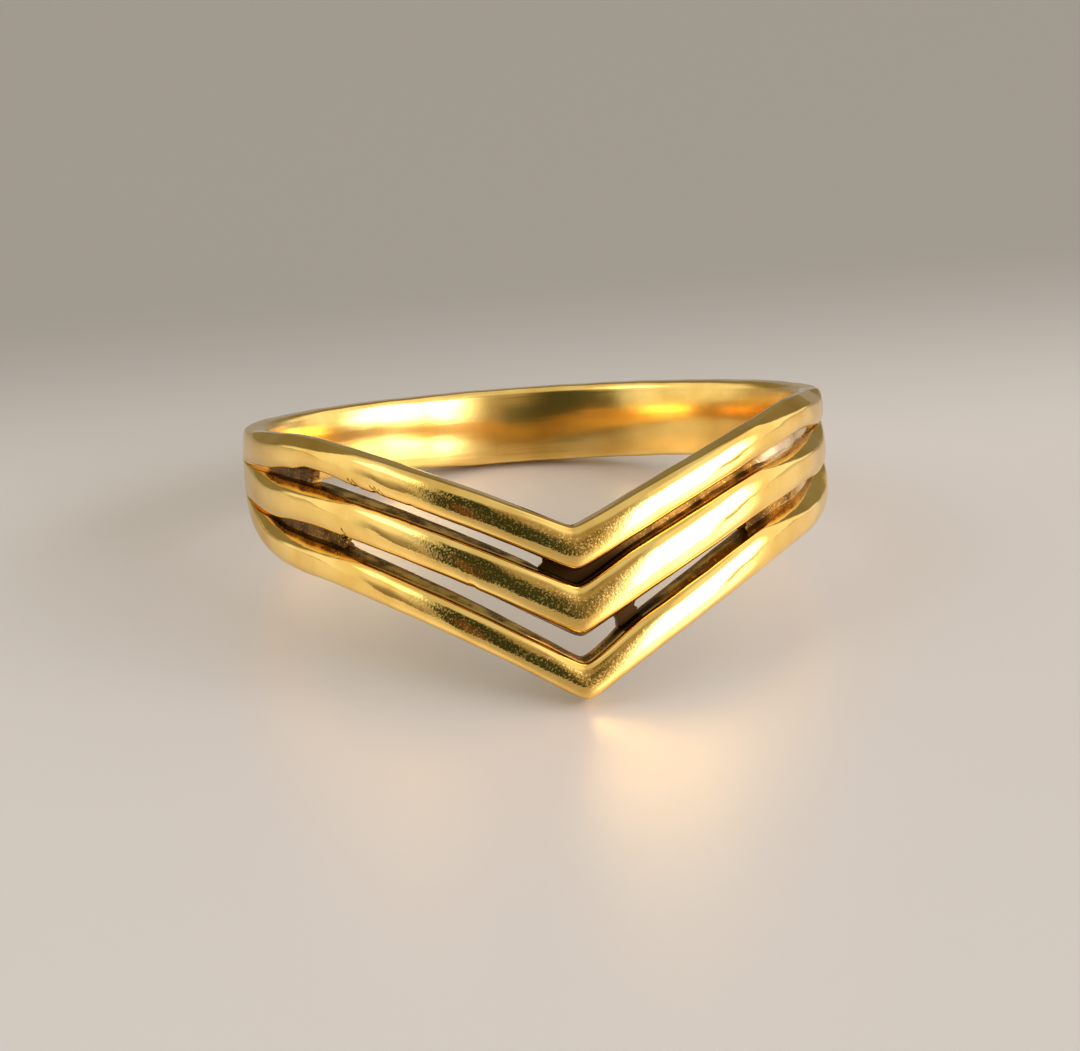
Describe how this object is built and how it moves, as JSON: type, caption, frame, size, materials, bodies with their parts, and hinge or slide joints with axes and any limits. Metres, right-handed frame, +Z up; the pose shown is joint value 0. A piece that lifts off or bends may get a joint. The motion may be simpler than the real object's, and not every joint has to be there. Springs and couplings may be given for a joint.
{
  "type": "chevron ring",
  "caption": "One-piece cast brass finger ring whose plain back band splits into parallel half-round bars that meet in a V.",
  "frame": {"origin": "on the resting plane, under the middle of the ring's bounding box", "axes": "+Z up as the ring lies on its side, -Y towards the tip of the V, +X to the right as seen from the V"},
  "size_m": [0.0192, 0.021, 0.007],
  "materials": {
    "brass": "polished on the crowns, dull and darkened in the gaps"
  },
  "bodies": {
    "root": {"ring": "brass"}
  },
  "joints": []
}
